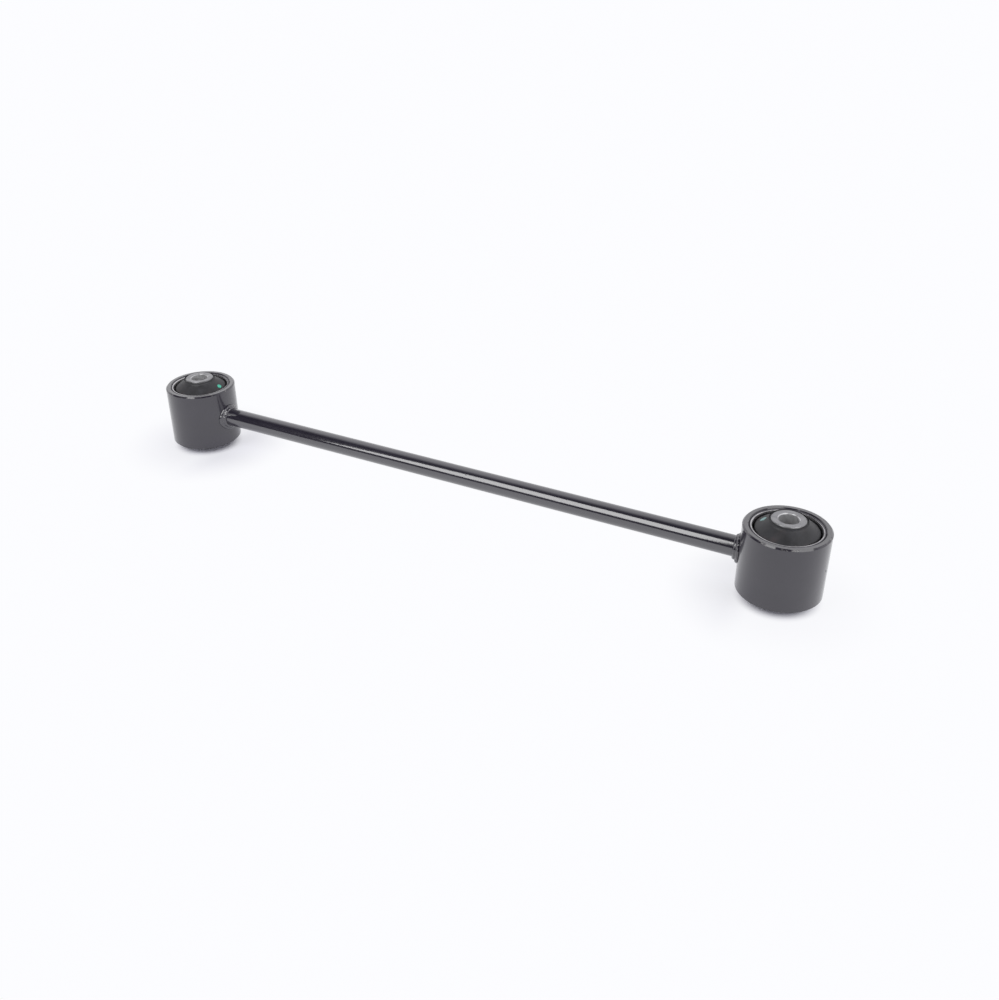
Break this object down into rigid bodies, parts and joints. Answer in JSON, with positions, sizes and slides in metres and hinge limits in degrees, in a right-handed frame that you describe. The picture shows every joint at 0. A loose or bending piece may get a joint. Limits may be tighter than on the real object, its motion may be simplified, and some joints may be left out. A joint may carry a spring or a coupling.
{
  "type": "suspension cross rod",
  "caption": "Straight steel suspension link with a welded eye and a bonded rubber bush at each end, bolted between an axle or hub carrier and the chassis.",
  "frame": {"origin": "midway between the two bolt bores, on the rod's axis", "axes": "+X along the rod towards the right eye, +Z along the bolt bores, upwards as the part lies on a table"},
  "size_m": [0.602, 0.062, 0.066],
  "materials": {
    "black_paint": "glossy black electro-coat paint over steel",
    "outer_sleeve_steel": "bare steel tube, cut to a bright end, grey",
    "bush_rubber": "satin moulded black rubber with a green paint dot",
    "inner_sleeve_steel": "turned bare steel, dull grey"
  },
  "bodies": {
    "arm": {"rod": "black_paint", "left_eye": "black_paint", "right_eye": "black_paint", "left_weld": "black_paint", "right_weld": "black_paint", "left_bush_outer_sleeve": "outer_sleeve_steel", "right_bush_outer_sleeve": "outer_sleeve_steel", "left_bush_rubber": "bush_rubber", "right_bush_rubber": "bush_rubber"},
    "left_sleeve": {"left_bush_inner_sleeve": "inner_sleeve_steel"},
    "right_sleeve": {"right_bush_inner_sleeve": "inner_sleeve_steel"}
  },
  "joints": [
    {"name": "left_bush_twist", "type": "hinge", "parent": "arm", "child": "left_sleeve", "pos_m": [-0.27, 0, 0], "axis": [0, 0, 1], "range_deg": [-20, 20], "stiffness_Nm_per_rad": 90},
    {"name": "right_bush_twist", "type": "hinge", "parent": "arm", "child": "right_sleeve", "pos_m": [0.27, 0, 0], "axis": [0, 0, 1], "range_deg": [-20, 20], "stiffness_Nm_per_rad": 90}
  ]
}
